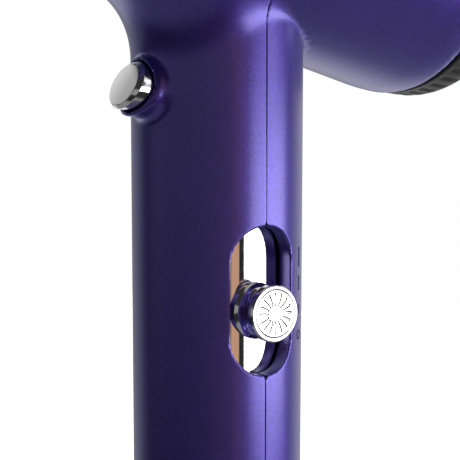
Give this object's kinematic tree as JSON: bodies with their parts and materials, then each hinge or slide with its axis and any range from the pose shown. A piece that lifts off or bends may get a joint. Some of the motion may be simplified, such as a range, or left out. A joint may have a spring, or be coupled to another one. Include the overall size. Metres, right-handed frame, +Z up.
{
  "type": "travel hair dryer",
  "caption": "Compact pistol-grip hair dryer with a push-on concentrator, twist-off intake cover, sliding heat switch and cool-shot button.",
  "frame": {"origin": "middle of the footprint of the whole, at the height of its lowest point", "axes": "+Z up, -X the way the air blows, -Y the side with the sliding switch; the handle leans 8 degrees"},
  "size_m": [0.161, 0.0706, 0.1805],
  "materials": {
    "satin_purple": "satin metallic paint with fine flake",
    "chrome": "mirror",
    "black_plastic": "satin",
    "ivory_plastic": "matte",
    "black_rubber": "matte",
    "steel": "satin",
    "brass": "satin",
    "nichrome": "matte",
    "mica": "matte",
    "circuit_board": "satin",
    "red_insulation": "satin",
    "white_insulation": "satin",
    "blue_insulation": "satin"
  },
  "bodies": {
    "housing": {"front_housing": "satin_purple", "rear_housing": "satin_purple", "outlet_grille": "black_plastic", "fan_duct": "ivory_plastic", "duct_screw_1": "steel", "duct_screw_2": "steel", "duct_screw_3": "steel", "motor_can": "steel", "motor_end_cap": "black_plastic", "heater_sleeve": "mica", "heater_board_upright": "mica", "heater_board_flat": "mica", "heater_coil_low": "nichrome", "heater_coil_high": "nichrome", "thermal_fuse": "steel", "thermostat": "brass", "slide_switch_body": "black_plastic", "control_board": "circuit_board", "rectifier_diode_1": "black_plastic", "rectifier_diode_2": "black_plastic", "rectifier_diode_3": "black_plastic", "rectifier_diode_4": "black_plastic", "suppression_capacitor": "brass", "cool_shot_spring": "steel", "cool_shot_bracket": "black_plastic", "cool_shot_microswitch": "black_plastic", "housing_screw_1": "steel", "housing_screw_2": "steel", "cord_clamp": "black_plastic", "cord_clamp_screw_1": "steel", "cord_clamp_screw_2": "steel", "cord_gland": "black_rubber", "hanging_loop": "black_rubber", "heater_lead_red": "red_insulation", "heater_lead_white": "white_insulation", "motor_lead_blue": "blue_insulation"},
    "nozzle": {"concentrator_nozzle": "black_plastic"},
    "rear_cover": {"intake_cover": "black_plastic", "intake_filter": "steel"},
    "rotor": {"motor_shaft": "steel", "impeller": "black_plastic"},
    "thumb_slider": {"switch_knob": "chrome", "switch_slide_plate": "chrome", "switch_actuator": "black_plastic"},
    "cool_shot": {"cool_shot_button": "chrome", "cool_shot_stem": "black_plastic"}
  },
  "joints": [
    {"name": "nozzle_swivel", "type": "hinge", "parent": "housing", "child": "nozzle", "pos_m": [-0.0645, 0, 0.14521], "axis": [1, 0, 0], "continuous": true},
    {"name": "cover_twist", "type": "hinge", "parent": "housing", "child": "rear_cover", "pos_m": [0.0725, 0, 0.14521], "axis": [1, 0, 0], "range_deg": [0, 20]},
    {"name": "fan_spin", "type": "hinge", "parent": "housing", "child": "rotor", "pos_m": [0.0483, 0, 0.14521], "axis": [1, 0, 0], "continuous": true},
    {"name": "switch_slide", "type": "slide", "parent": "housing", "child": "thumb_slider", "axis": [-0.1392, 0, 0.9903], "range_m": [-0.0056, 0.0112]},
    {"name": "cool_shot_press", "type": "slide", "parent": "housing", "child": "cool_shot", "axis": [0.9994, 0, -0.0349], "range_m": [0, 0.0022], "stiffness_N_per_m": 350, "springref_m": -0.0008, "deforming": ["cool_shot_spring"]}
  ]
}
